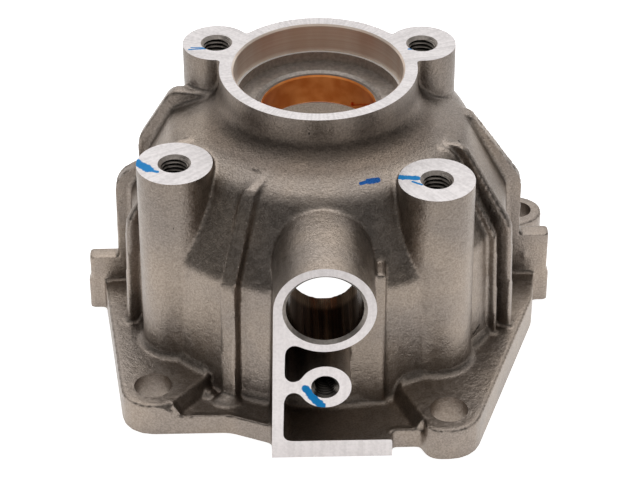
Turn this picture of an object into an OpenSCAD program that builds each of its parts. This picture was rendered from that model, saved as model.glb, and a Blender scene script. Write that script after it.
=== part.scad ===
// Transmission extension housing: a cast bell with a bolting flange, a seal neck, four threaded posts,
// a machined side port and a pressed bush. The origin is on the shaft axis, in the plane of the base.

/* [Bell] */
// Height from the flange's base to the machined top
housing_h = 99; // [95:0.5:110]
// Outer radius of the bell's upright wall at its foot
bell_r = 67; // [66:0.1:68]
// Outer radius where the upright wall bends into the cone
crease_r = 65; // [64:0.1:65.8]
// Height at which the upright wall bends into the cone
crease_z = 51.5; // [47:0.5:54]
// Radius of the shoulder's outer edge, at the top of the cone
shoulder_r = 50.7; // [49:0.1:52]
// Height of the machined top above the shoulder's outer edge
neck_h = 20; // [18.5:0.1:21.5]
// How far the shoulder climbs from its outer edge to the neck
shoulder_rise = 8.1; // [6:0.1:9]
// Radius of the round between the upright wall and the cone
crease_round = 7; // [3:0.5:9]
// Radius of the round between shoulder and cone
shoulder_round = 9; // [5:0.5:11]
// Radius of the hollow round between the neck and the shoulder
neck_fillet = 6; // [3:0.5:7]
// Thickness of the cast wall
wall = 4.5; // [3.5:0.1:5.5]
// Radius of the machined register inside the base
register_r = 63.6; // [63:0.1:64]
// Depth of the machined register
register_depth = 4; // [2:0.5:6]

/* [Neck and seal seat] */
// Outer radius of the neck ring
neck_r = 33.4; // [32:0.1:35]
// Radius of the seal seat
seal_r = 28.6; // [27.5:0.1:29.5]
// Depth of the seal seat
seal_depth = 10.4; // [8:0.1:11]
// Lead-in chamfer of the seal seat
seal_chamfer = 0.5; // [0.2:0.1:1]
// Radial step under the seal seat
seal_step = 0.9; // [0.5:0.1:1.5]
// Depth of the relief under the step
relief_depth = 3.6; // [2:0.1:4]
// Radius of the lead-in cone above the bush
lead_in_r = 21.6; // [21.2:0.1:23]

/* [Bush] */
// Radius of the bush's running bore
bush_bore_r = 19; // [17.5:0.1:19.4]
// Thickness of the bush
bush_wall = 1.6; // [1:0.1:1.8]
// Length of the bush
bush_length = 11; // [9:0.5:13]
// How far the bush's end sits below the floor above it
bush_recess = 0.8; // [0.4:0.1:1.2]
// Chamfer at both ends of the bush's bore
bush_chamfer = 0.5; // [0.2:0.1:0.8]
// Angle of the oil notch from +X
oil_notch_deg = 50; // [0:1:180]
// Height of the oil notch in the bush's lower end
oil_notch_h = 2.4; // [1.5:0.1:4]
// Width of the oil notch
oil_notch_w = 5; // [3:0.5:8]
// Thickness of the cast boss around the bush
bush_boss_wall = 5; // [4:0.5:6]

/* [Threaded posts] */
// Left post beside the neck, to the left of the axis
rear_left_x = 34.4; // [33.5:0.1:36]
// Left post beside the neck, behind the axis
rear_left_y = 17.3; // [15:0.1:19]
// Right post beside the neck, to the right of the axis
rear_right_x = 35.7; // [34.5:0.1:37]
// Right post beside the neck, behind the axis
rear_right_y = 14.8; // [13:0.1:17]
// Radius of the posts beside the neck
rear_post_r = 11.6; // [10.5:0.1:12.2]
// Left front post, to the left of the axis
front_left_x = 48; // [46.5:0.1:49]
// Left front post, in front of the axis
front_left_y = 33; // [31.5:0.1:34]
// Right front post, to the right of the axis
front_right_x = 37.3; // [36:0.1:38]
// Right front post, in front of the axis
front_right_y = 45; // [44:0.1:46]
// How far the front posts' faces lie below the top
front_post_drop = 16; // [15.5:0.5:20]
// Radius of the front posts at their faces
front_post_r = 12.6; // [11.5:0.1:13]
// Growth of a front post's radius from face to foot
front_post_draft = 0.8; // [0.2:0.1:1.2]
// Tapping drill radius of the post holes
post_drill_r = 4.25; // [3.4:0.05:4.5]
// Chamfer radius at the mouth of the post holes
post_mouth_r = 5.4; // [4.7:0.1:6]
// Depth of the post holes to the full diameter
post_hole_depth = 13; // [10:0.5:14]

/* [Flange] */
// Thickness of the flange along its sides and at its bolt holes
flange_t = 12.2; // [11:0.1:13]
// Thickness of the flange's low web between the front bolt holes
web_t = 7; // [5:0.5:8]
// Outer radius of the flange's rim
rim_r = 72.4; // [71:0.2:74]
// Half width of the flange at the lugs
flange_side_x = 76.6; // [76:0.1:78]
// Left front bolt hole, to the left of the axis
bolt_left_x = 57.2; // [56:0.1:58]
// Left front bolt hole, in front of the axis
bolt_left_y = 60.5; // [59.5:0.1:62]
// Right front bolt hole, to the right of the axis
bolt_right_x = 41.1; // [40:0.1:42]
// Right front bolt hole, in front of the axis
bolt_right_y = 75.9; // [75:0.1:77]
// Radius of the front bolt holes
bolt_hole_r = 6.35; // [5.5:0.05:6.6]
// Radius of the flange's corners round the front bolt holes
bolt_boss_r = 10.9; // [10.2:0.1:11.5]
// How far the flange's right side bends in, from the lugs' width
side_bend_in = 1.4; // [0.8:0.1:2]
// Where the flange's right side bends, in front of the axis
side_bend_y = 14; // [8:0.5:20]
// Where the left corner's front edge turns out to the pad, from the pad's end
front_turn_x = 14; // [10:0.5:18]
// How far that edge runs forward to the pad
front_turn_y = 6; // [4:0.5:8]
// How far the web's front edge lies in front of the right bolt hole
web_front = 4.4; // [3:0.1:6]
// How far the web starts to the right of the left bolt hole
web_left = 7; // [5:0.5:8.5]
// How far the web starts to the left of the right bolt hole
web_right = 8.2; // [7.5:0.1:8.6]
// Distance of the rear bolt holes from the axis
rear_bolt_d = 84.8; // [84:0.1:86]
// Angle of the right rear bolt hole from +X
rear_bolt_right_deg = 28; // [26:1:31]
// Angle of the rearmost bolt hole from +X
rear_bolt_back_deg = 86; // [80:1:92]
// Angle of the left rear bolt hole from +X
rear_bolt_left_deg = 140; // [135:1:143]
// Radius of the rear bolt holes
rear_hole_r = 5; // [4.3:0.05:5.5]
// Radius of the rear bolt bosses
rear_boss_r = 8.8; // [8.2:0.1:10]

/* [Port pad] */
// Distance of the pad's machined face in front of the axis
pad_d = 84.5; // [82:0.1:86.5]
// Height of the port's axis above the base
port_z = 60.4; // [59:0.2:62]
// Outer radius of the port tube
port_outer_r = 16.4; // [15.5:0.1:17]
// Radius of the port's bore
port_bore_r = 12.4; // [11.5:0.1:13]
// Chamfer at the mouth of the port
port_chamfer = 1.1; // [0.6:0.1:1.5]
// Height of the threaded boss under the port
boss_z = 29.6; // [28.5:0.1:31]
// Radius of the threaded boss under the port
boss_r = 8.5; // [7.8:0.1:8.8]
// Tapping drill radius of that boss
boss_drill_r = 3.4; // [2.5:0.05:3.8]
// Chamfer radius at the mouth of that boss
boss_mouth_r = 4.6; // [4:0.1:5]
// Depth of that boss's hole to the full diameter
boss_hole_depth = 13; // [10:0.5:14]
// Left end of the pad's bottom bar, from the axis
pad_left = 17.7; // [17.2:0.1:18.5]
// Right end of the pad's bottom bar, from the axis
pad_right = 22; // [21:0.1:24]
// Width of the pad's upright rib
pad_rib_w = 4; // [3.2:0.1:4.4]
// Height of the pad's bottom bar
pad_bar_h = 7; // [5.5:0.1:8]
// Least height of the web between the rib and the threaded boss
pad_web_h = 4.4; // [3.6:0.1:5]
// Radius of the rounds in the corners of the pad
pad_round = 2.8; // [2:0.1:3]
// Right face of the thick wall beside the port
port_side_x = 20.3; // [19.5:0.1:21]
// Front face of the thick wall beside the port
port_side_y = 65.6; // [65:0.1:67]
// Height of the thick wall beside the port
port_side_z = 60; // [55:0.5:62]

/* [Ribs, fins and lugs] */
// How far the side fins stand out of the bell
fin_out = 4.7; // [4:0.1:6]
// Radius where the right fin's slope meets its top
right_fin_top_r = 52.2; // [51:0.1:54]
// How far the right fin's top lies above the shoulder's outer edge
right_fin_rise = 0.5; // [0.2:0.1:2]
// How far the right fin's corner lies above the crease
right_corner_up = 1; // [0:0.5:4]
// How far the left fin's corner lies above the crease
left_corner_up = 4; // [2:0.5:8]
// Radius of the rounds at the fins' corners
fin_round = 9; // [6:0.5:11]
// Radius where the left fin's slope meets its top
left_fin_top_r = 55.9; // [54:0.1:58]
// How far the left fin's top lies above its corner
left_fin_rise = 9; // [6:0.5:12]
// Thickness of the side fins
fin_t = 5; // [4:0.5:6]
// Angle of the upper left fin from +X
upper_fin_deg = 169; // [166:1:172]
// Radius of the upper left fin's upright edge
upper_fin_r = 63.4; // [62.5:0.1:64.5]
// How far the upper left fin's corner lies above the crease
upper_corner_up = 14; // [12:0.5:15]
// Radius where the upper left fin's slope meets its top
upper_fin_top_r = 51.1; // [50:0.1:52.5]
// How far the upper left fin's top lies above the shoulder's outer edge
upper_fin_rise = 7.1; // [6:0.1:7.9]
// Reach of the lugs from the axis
lug_x = 81.6; // [80:0.1:83]
// Extra reach of the lugs' lower parts
lug_step = 0.8; // [0.4:0.1:1.2]
// Thickness of the lugs
lug_t = 6; // [5.2:0.2:8]
// How far the lugs' wider part ends below the flange's top
lug_drop = 0.6; // [0.3:0.1:1.5]
// Radius of the rounds at the lugs' upright edges
lug_round = 1.6; // [0.6:0.1:2.4]
// Height of the left lug above the base
lug_left_h = 22; // [18:0.5:25]
// Height of the right lug above the base
lug_right_h = 28.8; // [24:0.5:31]
// Thickness of the left front rib
left_rib_t = 5.6; // [4:0.1:6.5]
// How far the left front rib stands out of the bell
left_rib_out = 3.6; // [2.5:0.1:5]
// How far the left front rib's top lies above the shoulder's outer edge
left_rib_up = 4.2; // [3:0.1:5]
// Thickness of the right front rib
right_rib_t = 2.2; // [1.6:0.1:3]
// How far the right front rib stands out of the bell
right_rib_out = 3; // [2:0.1:4]
// How far the two tall side ribs stand out of the bell
tall_rib_out = 6; // [4:0.1:6.5]
// How far the side ribs' tops lie above the shoulder's outer edge
side_rib_up = 2.4; // [1:0.1:4]
// Thickness of the tall side ribs
tall_rib_t = 3.2; // [2.5:0.1:4]
// Angle of the left front rib from +X
rib_left_deg = 242.8; // [242:0.2:246]
// Angle of the right front rib from +X
rib_right_deg = 330; // [329:1:331]
// Angle between that rib and the tall rib beside it
rib_pair_deg = 5; // [4.5:0.5:6]
// Angle of the left tall rib from +X
tall_left_deg = 200; // [198:1:203]

/* [Hidden] */
$fn = 64;
hole_fn = 40;
cast_colour = [0.62, 0.59, 0.55];
bronze_colour = [0.72, 0.42, 0.17];
proud = 1;
drill_point_deg = 59;
crease_inner_round = 4;
inner_neck_gap = 1.2;
shoulder_z = housing_h - neck_h;
seal_floor_z = housing_h - seal_depth - relief_depth;
relief_r = seal_r - seal_step;
bush_r = bush_bore_r + bush_wall;
bush_top_z = seal_floor_z - bush_recess;
bush_low_z = bush_top_z - bush_length;
boss_low_r = bush_r + bush_boss_wall;
front_post_z = housing_h - front_post_drop;
ceiling_z = shoulder_z - wall;
pad_depth = pad_d - bell_r + wall;
side_bend_round = 18;
web_slope = 1.5;
web_round = 3;
web_corner_left = 8.4;
web_corner_right = 5.2;
web_run = [13, 14.9];
web_rise = [8.8, 21.2];
rib_crease_lift = 0.5;
rib_top_in = 3.4;
rib_round_ease = 0.5;
tall_left_less = 1;
fin_top_round = fin_round * 2 / 3;
web_end_round = bolt_boss_r / 2;
neck_draft = 0.2;
ceiling_rise = 4.7;
boss_foot_round = 2;
lap = 0.2;

// Points of the round at p, of radius r, between its neighbours a and b
function corner(a, p, b, r, steps = 4) =
    let(u = (a - p) / norm(a - p), v = (b - p) / norm(b - p))
    let(half = acos(u * v) / 2, back = r / tan(half))
    let(mid = (u + v) / norm(u + v), c = p + mid * r / sin(half))
    let(s = p + u * back - c, e = p + v * back - c)
    let(first = atan2(s.y, s.x), turn = atan2(e.y, e.x) - first)
    let(sweep = turn > 180 ? turn - 360 : turn < -180 ? turn + 360 : turn)
    [for (i = [0 : steps]) c + r * [cos(first + sweep * i / steps), sin(first + sweep * i / steps)]];

// A closed outline from rows of [x, y, corner radius]
function outline(rows) =
    let(n = len(rows))
    [for (i = [0 : n - 1])
        let(row = rows[i], p = [row.x, row.y])
        let(before = rows[(i + n - 1) % n], after = rows[(i + 1) % n])
        each row[2] > 0 ? corner([before.x, before.y], p, [after.x, after.y], row[2]) : [p]];

// Outer form of the bell and the neck, from the foot up
bell_rows = [
    [0, 0, 0],
    [bell_r, 0, 0],
    [crease_r, crease_z, crease_round],
    [shoulder_r, shoulder_z, shoulder_round],
    [neck_r + neck_draft, shoulder_z + shoulder_rise, neck_fillet],
    [neck_r, housing_h, 0],
    [0, housing_h, 0]];

// Outline of a rib that stands out of the bell and ends a little above the shoulder's edge
function rib_rows(out, up) = [
    [0, 0, 0],
    [bell_r + out, 0, 0],
    [crease_r + out, crease_z + rib_crease_lift * out, crease_round + out],
    [shoulder_r + out - rib_top_in, shoulder_z + up, shoulder_round - rib_round_ease * out],
    [0, shoulder_z + up, 0]];

cavity_rows = [
    [0, -proud, 0],
    [bell_r - wall, -proud, 0],
    [crease_r - wall, crease_z, crease_inner_round],
    [shoulder_r - wall, ceiling_z, crease_inner_round],
    [boss_low_r + inner_neck_gap, ceiling_z + ceiling_rise, boss_foot_round],
    [boss_low_r, bush_low_z - proud, 0],
    [0, bush_low_z - proud, 0]];

// A line from point a that touches the round of radius r about c, met with the level y
function touch_x(a, c, r, y, side) =
    let(d = c - a, way = atan2(d.y, d.x) + side * asin(r / norm(d)))
    a.x + (y - a.y) * cos(way) / sin(way);

left_bolt = [-bolt_left_x, -bolt_left_y];
right_bolt = [bolt_right_x, -bolt_right_y];
flange_front_y = -bolt_left_y - bolt_boss_r;
left_corner_x = touch_x([-flange_side_x, 0], left_bolt, bolt_boss_r, flange_front_y, -1);
right_front_y = -bolt_right_y - bolt_boss_r;
side_bend = [flange_side_x - side_bend_in, -side_bend_y];
right_corner_x = touch_x(side_bend, right_bolt, bolt_boss_r, right_front_y, 1);
web_front_y = -bolt_right_y - web_front;
rear_angles = [rear_bolt_right_deg, rear_bolt_back_deg, rear_bolt_left_deg];

flange_rows = [
    [-flange_side_x, lug_t, 0],
    [-flange_side_x, 0, 0],
    [left_corner_x, flange_front_y, bolt_boss_r],
    [-pad_left - front_turn_x, flange_front_y, bolt_boss_r],
    [-pad_left, flange_front_y - front_turn_y, 0],
    [-pad_left, web_front_y, 0],
    [bolt_right_x - web_right - web_slope, web_front_y, 0],
    [bolt_right_x - web_right + web_slope, right_front_y, web_end_round],
    [right_corner_x, right_front_y, bolt_boss_r],
    [side_bend.x, side_bend.y, side_bend_round],
    [flange_side_x, 0, 0],
    [flange_side_x, lug_t, 0]];

web_rows = [
    [-bolt_left_x + web_left, right_front_y - proud, 0],
    [-bolt_left_x + web_left, -bolt_left_y - web_corner_left, web_round],
    [-bolt_left_x + web_left + web_run.x, -bolt_left_y - web_corner_left + web_run.y, 0],
    [bolt_right_x - web_right - web_rise.x, -bolt_right_y - web_corner_right + web_rise.y, 0],
    [bolt_right_x - web_right, -bolt_right_y - web_corner_right, web_round],
    [bolt_right_x - web_right, right_front_y - proud, 0]];

// The bell as a body of revolution
module bell() {
    rotate_extrude() polygon(outline(bell_rows));
}

// The space inside the bell, round the cast boss that holds the bush
module cavity() {
    rotate_extrude() polygon(outline(cavity_rows));
    translate([0, 0, -proud]) cylinder(h = register_depth + proud, r = register_r);
}

// The seal seat, its relief and the bush's bore, cut from above
module neck_bore() {
    translate([0, 0, seal_floor_z]) cylinder(h = relief_depth + proud, r = relief_r);
    translate([0, 0, housing_h - seal_depth]) cylinder(h = seal_depth + proud, r = seal_r);
    translate([0, 0, housing_h - seal_chamfer])
        cylinder(h = seal_chamfer + proud, r1 = seal_r, r2 = seal_r + seal_chamfer + proud);
    translate([0, 0, bush_top_z]) cylinder(h = bush_recess, r1 = bush_r, r2 = lead_in_r);
    translate([0, 0, bush_low_z - 2 * proud]) cylinder(h = bush_length + 2 * proud + lap, r = bush_r);
}

// A blind tapped hole from the origin downwards, with its mouth chamfer and drill point
module tapped_hole(drill_r, mouth_r, depth) {
    point_h = drill_r / tan(drill_point_deg);
    translate([0, 0, -depth]) cylinder(h = depth + proud, r = drill_r);
    translate([0, 0, -depth - point_h]) cylinder(h = point_h, r1 = 0, r2 = drill_r);
    translate([0, 0, -(mouth_r - drill_r)])
        cylinder(h = mouth_r - drill_r + proud, r1 = drill_r, r2 = mouth_r + proud);
}

module rear_post_places() {
    translate([-rear_left_x, rear_left_y, housing_h]) children();
    translate([rear_right_x, rear_right_y, housing_h]) children();
}

module front_post_places() {
    translate([-front_left_x, -front_left_y, front_post_z]) children();
    translate([front_right_x, -front_right_y, front_post_z]) children();
}

module posts() {
    rear_post_places() translate([0, 0, bush_low_z - housing_h])
        cylinder(h = housing_h - bush_low_z, r = rear_post_r);
    front_post_places() translate([0, 0, -front_post_z + proud])
        cylinder(h = front_post_z - proud, r1 = front_post_r + front_post_draft, r2 = front_post_r);
}

module post_holes() {
    rear_post_places() tapped_hole(post_drill_r, post_mouth_r, post_hole_depth, $fn = hole_fn);
    front_post_places() tapped_hole(post_drill_r, post_mouth_r, post_hole_depth, $fn = hole_fn);
}

// Plan of the flange: one outline in front, a round rim and three ears behind
module flange_plan() {
    polygon(outline(flange_rows));
    circle(r = rim_r);
    for (a = rear_angles) rotate(a) {
        translate([rear_bolt_d, 0]) circle(r = rear_boss_r);
        translate([rear_bolt_d / 2, -rear_boss_r]) square([rear_bolt_d / 2, 2 * rear_boss_r]);
    }
}

// The flange, with a lower web between the front bolts
module flange() {
    difference() {
        linear_extrude(flange_t) flange_plan();
        translate([0, 0, web_t]) linear_extrude(flange_t) polygon(outline(web_rows));
    }
}

module bolt_holes() {
    for (p = [left_bolt, right_bolt])
        translate([p.x, p.y, -proud]) cylinder(h = flange_t + 2 * proud, r = bolt_hole_r, $fn = hole_fn);
    for (a = rear_angles) rotate([0, 0, a])
        translate([rear_bolt_d, 0, -proud])
            cylinder(h = flange_t + 2 * proud, r = rear_hole_r, $fn = hole_fn);
}

// An upright rib in the plane through the axis, following the bell at a distance out
module bell_rib(deg, out, thick, up) {
    upright_plate(deg, thick) polygon(outline(rib_rows(out, up)));
}

// A plate of a given thickness, upright in the plane through the axis
module upright_plate(deg, thick) {
    rotate([0, 0, deg]) translate([0, thick / 2, 0]) rotate([90, 0, 0]) linear_extrude(thick) children();
}

module ribs() {
    bell_rib(rib_left_deg, left_rib_out, left_rib_t, left_rib_up);
    bell_rib(rib_right_deg, right_rib_out, right_rib_t, side_rib_up);
    bell_rib(rib_right_deg + rib_pair_deg, tall_rib_out, tall_rib_t, side_rib_up);
    bell_rib(tall_left_deg, tall_rib_out - tall_left_less, tall_rib_t, side_rib_up);
}

function lug_rows(x) = [
    [0, 0, 0],
    [x, 0, lug_round],
    [x, lug_t, lug_round],
    [0, lug_t, 0]];

// The flat side fins and the lugs that they run down to
module fins_and_lugs() {
    left_top_z = crease_z + left_corner_up + left_fin_rise;
    right_top_z = shoulder_z + right_fin_rise;
    right_rows = [
        [0, 0, 0],
        [bell_r + fin_out, 0, 0],
        [crease_r + fin_out + proud, crease_z + right_corner_up, fin_round],
        [right_fin_top_r, right_top_z, fin_top_round],
        [0, right_top_z, 0]];
    left_rows = [
        [0, 0, 0],
        [bell_r + fin_out, 0, 0],
        [crease_r + fin_out + proud, crease_z + left_corner_up, fin_round],
        [left_fin_top_r, left_top_z, 0],
        [0, left_top_z, 0]];
    translate([0, fin_t, 0]) rotate([90, 0, 0]) linear_extrude(fin_t) polygon(outline(right_rows));
    translate([0, fin_t, 0]) rotate([90, 0, 0]) linear_extrude(fin_t)
        mirror([1, 0]) polygon(outline(left_rows));
    upper_top_z = shoulder_z + upper_fin_rise;
    upper_rows = [
        [0, crease_z - fin_round, 0],
        [upper_fin_r, crease_z - fin_round, 0],
        [upper_fin_r, crease_z + upper_corner_up, fin_round],
        [upper_fin_top_r, upper_top_z, fin_top_round],
        [0, upper_top_z, 0]];
    upright_plate(upper_fin_deg, fin_t) polygon(outline(upper_rows));
    lug(lug_right_h);
    mirror([1, 0, 0]) lug(lug_left_h);
}

// A lug of height h on the right side, rounded in plan, with its lower part a little wider
module lug(h) {
    linear_extrude(h) polygon(outline(lug_rows(lug_x)));
    linear_extrude(flange_t - lug_drop) polygon(outline(lug_rows(lug_x + lug_step)));
}

// Outline of the pad in its own plane, as x and height
module pad_outline() {
    rib_in_foot = -(pad_left - pad_rib_w);
    rib_in_top = -(port_outer_r - pad_rib_w);
    web_x = (rib_in_foot + rib_in_top) / 2 + pad_round;
    web_up = pad_web_h / 2 + pad_round;
    corner_x = rib_in_top + pad_round - lap;
    corner_z = port_z - sqrt(pow(port_outer_r + pad_round, 2) - pow(corner_x, 2));
    touch = port_outer_r / (port_outer_r + pad_round);
    polygon([
        [-pad_left, 0],
        [pad_right, 0],
        [pad_right, pad_bar_h],
        [rib_in_foot - lap, pad_bar_h],
        [rib_in_top, port_z],
        [-port_outer_r, port_z]]);
    translate([0, port_z]) circle(r = port_outer_r);
    translate([0, boss_z]) circle(r = boss_r);
    difference() {
        translate([-pad_left + proud, boss_z - web_up])
            square([pad_left - 2 * proud + web_x + pad_round, 2 * web_up]);
        for (s = [-1, 1]) translate([web_x, boss_z + s * web_up]) circle(r = pad_round);
    }
    difference() {
        polygon([
            [-port_outer_r + proud, corner_z],
            [corner_x, corner_z],
            [corner_x * touch, port_z + (corner_z - port_z) * touch],
            [corner_x * touch, port_z],
            [-port_outer_r + proud, port_z]]);
        translate([corner_x, corner_z]) circle(r = pad_round);
    }
    difference() {
        translate([rib_in_foot - proud, pad_bar_h - proud]) square(pad_round + proud);
        translate([rib_in_foot + pad_round - lap, pad_bar_h + pad_round]) circle(r = pad_round);
    }
}

// The port tube, the pad's ribs and the thick wall beside the tube
module port() {
    translate([0, -pad_d + pad_depth, 0]) rotate([90, 0, 0]) linear_extrude(pad_depth) pad_outline();
    translate([0, 0, port_z]) rotate([90, 0, 0]) cylinder(h = pad_d, r = port_outer_r);
    side_left = pad_left - pad_rib_w / 2;
    translate([-side_left, -port_side_y, 0]) cube([side_left + port_side_x, port_side_y, port_side_z]);
}

module port_holes() {
    translate([0, -pad_d, port_z]) rotate([90, 0, 0]) {
        translate([0, 0, -pad_d / 2]) cylinder(h = pad_d / 2 + proud, r = port_bore_r);
        translate([0, 0, -port_chamfer])
            cylinder(h = port_chamfer + proud, r1 = port_bore_r, r2 = port_bore_r + port_chamfer + proud);
    }
    translate([0, -pad_d, boss_z]) rotate([90, 0, 0])
        tapped_hole(boss_drill_r, boss_mouth_r, boss_hole_depth, $fn = hole_fn);
}

module housing() {
    color(cast_colour) difference() {
        union() {
            bell();
            posts();
            flange();
            ribs();
            fins_and_lugs();
            port();
        }
        cavity();
        neck_bore();
        post_holes();
        bolt_holes();
        port_holes();
    }
}

module output_bush() {
    color(bronze_colour) translate([0, 0, bush_low_z]) difference() {
        cylinder(h = bush_length, r = bush_r);
        translate([0, 0, -proud]) cylinder(h = bush_length + 2 * proud, r = bush_bore_r);
        translate([0, 0, bush_length - bush_chamfer])
            cylinder(h = bush_chamfer + proud, r1 = bush_bore_r, r2 = bush_bore_r + bush_chamfer + proud);
        translate([0, 0, -proud])
            cylinder(h = bush_chamfer + proud, r1 = bush_bore_r + bush_chamfer + proud, r2 = bush_bore_r);
        rotate([0, 0, oil_notch_deg]) translate([0, -oil_notch_w / 2, -proud])
            cube([bush_r + proud, oil_notch_w, oil_notch_h + proud]);
    }
}

housing();
output_bush();
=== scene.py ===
# %% [markdown]
# # A cast extension housing on a white table
#
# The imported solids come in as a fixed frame, in metres. The casting is made again over its own
# solid, in the order of a foundry and a machine shop: first a rough casting with soft corners,
# then milled faces, bores and threads. The finishes, the bush, the table and the light follow.

# %% Load the frame
import bmesh
import bpy
import math
import numpy as np
from mathutils import Matrix, Vector, noise
from mathutils.bvhtree import BVHTree


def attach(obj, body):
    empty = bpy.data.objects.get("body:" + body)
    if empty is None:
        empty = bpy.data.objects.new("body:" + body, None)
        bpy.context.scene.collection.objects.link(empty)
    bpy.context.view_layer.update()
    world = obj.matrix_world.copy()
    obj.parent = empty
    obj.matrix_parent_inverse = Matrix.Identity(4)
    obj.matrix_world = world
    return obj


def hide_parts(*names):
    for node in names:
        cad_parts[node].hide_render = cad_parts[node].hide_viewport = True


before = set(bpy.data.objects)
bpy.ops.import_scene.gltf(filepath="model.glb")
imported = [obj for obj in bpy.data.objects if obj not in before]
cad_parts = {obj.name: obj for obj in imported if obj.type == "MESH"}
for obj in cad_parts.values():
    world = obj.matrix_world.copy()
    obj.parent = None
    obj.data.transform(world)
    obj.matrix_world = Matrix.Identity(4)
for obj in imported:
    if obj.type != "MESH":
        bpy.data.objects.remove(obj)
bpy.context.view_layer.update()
MM = 0.001

# %% [markdown]
# ## Tools for shapes
#
# A piece starts as a bmesh in millimetres and ends as an object at the origin, in metres. A
# modifier is baked by asking Blender for the evaluated mesh and keeping that, because the pieces
# that leave this file are plain meshes. Rods and boxes are enough to plug, mill and drill.


# %% Helpers for shapes
def make_object(name, bm):
    """Turn a bmesh in millimetres into an object in metres."""
    bmesh.ops.scale(bm, vec=(MM, MM, MM), verts=bm.verts)
    mesh = bpy.data.meshes.new(name)
    bm.to_mesh(mesh)
    bm.free()
    obj = bpy.data.objects.new(name, mesh)
    bpy.context.scene.collection.objects.link(obj)
    return obj


def bake_modifiers(obj):
    """Keep what the modifiers make, and take the modifiers off."""
    graph = bpy.context.evaluated_depsgraph_get()
    mesh = bpy.data.meshes.new_from_object(obj.evaluated_get(graph))
    obj.modifiers.clear()
    obj.data = mesh
    return obj


def rod(bm, foot, head, r_foot, r_head=None, segments=96):
    """Add a closed rod or cone from foot to head, in millimetres."""
    foot, head = Vector(foot), Vector(head)
    way = head - foot
    turn = way.to_track_quat("Z", "Y").to_matrix().to_4x4()
    place = Matrix.Translation((foot + head) / 2) @ turn
    made = bmesh.ops.create_cone(
        bm, cap_ends=True, segments=segments, radius1=r_foot,
        radius2=r_foot if r_head is None else r_head, depth=way.length, matrix=place)
    return made["verts"]


def block(bm, low, high):
    """Add a closed box between two corners, in millimetres."""
    low, high = Vector(low), Vector(high)
    size = Matrix.Diagonal((*(high - low), 1))
    bmesh.ops.create_cube(bm, size=1, matrix=Matrix.Translation((low + high) / 2) @ size)


def round_ring(bm, x, y, rows, steps=120):
    """Add a closed ring about an upright axis, spun from rows of radius and height."""
    corners = [bm.verts.new((x + out, y, up)) for out, up in rows]
    loop = [bm.edges.new((corners[k - 1], corners[k])) for k in range(len(corners))]
    bmesh.ops.spin(
        bm, geom=corners + loop, cent=(x, y, 0), axis=(0, 0, 1), angle=2 * math.pi,
        steps=steps, use_merge=True)


def stack(bm, loops):
    """Add a closed solid that runs through loops of points, from the first to the last."""
    rims = []
    for loop in loops:
        corners = [bm.verts.new(point) for point in loop]
        rims.append([bm.edges.new((corners[k - 1], corners[k])) for k in range(len(corners))])
    for low, high in zip(rims, rims[1:]):
        bmesh.ops.bridge_loops(bm, edges=low + high)
    for rim in (rims[0], rims[-1]):
        bmesh.ops.contextual_create(bm, geom=rim)
    bmesh.ops.recalc_face_normals(bm, faces=bm.faces)


print("helpers ready")

# %% [markdown]
# ## Sizes shared with the solids
#
# The script can't read the part's source, so the places that the tools need are repeated here, in
# millimetres from the shaft's axis and the flange's base. Only STOCK is new: it is how much metal
# the rough casting carries on each face that the mill will cut.

# %% Sizes
TOP_Z, POST_Z, PAD_Y = 99, 83, -84.5
PAD_SIDES = (-30, 27)
PORT_Z, BOSS_Z = 60.4, 29.6
PORT_R, PORT_CHAMFER = 12.4, 1.1
BELL_R = 67
SEAL_R, RELIEF_R, BUSH_R = 28.6, 27.7, 20.6
SEAL_LOW, RELIEF_LOW, BUSH_TOP, BUSH_LOW = 88.6, 85, 84.2, 73.2
REGISTER_R, REGISTER_T = 63.6, 4
REAR_POSTS = [(-34.4, 17.3), (35.7, 14.8)]
FRONT_POSTS = [(-48, -33), (37.3, -45)]
FRONT_POST_R, FRONT_POST_FOOT_R = 12.6, 13.3
FRONT_BOLTS = [(-57.2, -60.5), (41.1, -75.9)]
REAR_BOLTS = [(84.8 * math.cos(math.radians(a)), 84.8 * math.sin(math.radians(a))) for a in (28, 86, 140)]
FRONT_BOLT_R, REAR_BOLT_R = 6.35, 5
FLANGE_T, WEB_T = 12.2, 7
STOCK = 1.6
print("posts", REAR_POSTS + FRONT_POSTS)

# %% [markdown]
# ## The rough casting
#
# A foundry pours the part with extra metal where the mill will cut and with round corners
# everywhere else. The same order works here. A copy of the solid gets stock on its milled faces,
# the holes are plugged, a voxel remesh joins it all, and smoothing rounds every corner. Rounding
# the solid's own edges one by one would fail where ribs, posts and cone run into each other.

# %% Copy the solid and add stock to the faces that are milled
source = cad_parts["housing"]
cast = bmesh.new()
cast.from_mesh(source.data)
bmesh.ops.scale(cast, vec=(1 / MM,) * 3, verts=cast.verts)
bmesh.ops.remove_doubles(cast, verts=cast.verts, dist=0.002)


def add_stock(bm, axis, level, way):
    """Push out the flat faces at a level along an axis, which leaves stock to mill away."""
    near = 0.02
    flat = [f for f in bm.faces if all(abs(v.co[axis] - level) < near for v in f.verts)]
    grown = bmesh.ops.extrude_face_region(bm, geom=flat)["geom"]
    vec = Vector((0, 0, 0))
    vec[axis] = way * STOCK
    bmesh.ops.translate(bm, vec=vec, verts=[g for g in grown if isinstance(g, bmesh.types.BMVert)])
    bmesh.ops.delete(bm, geom=flat, context="FACES")
    return len(flat)


stocked = [
    add_stock(cast, 2, TOP_Z, 1), add_stock(cast, 2, POST_Z, 1),
    add_stock(cast, 1, PAD_Y, -1), add_stock(cast, 2, 0, -1)]
print("flat faces given stock", stocked)

# %% [markdown]
# Holes and bores are plugged with rods that are a little wider than they are. The tools that come
# later cut them open again, with crisp edges that no smoothing has touched.

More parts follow.
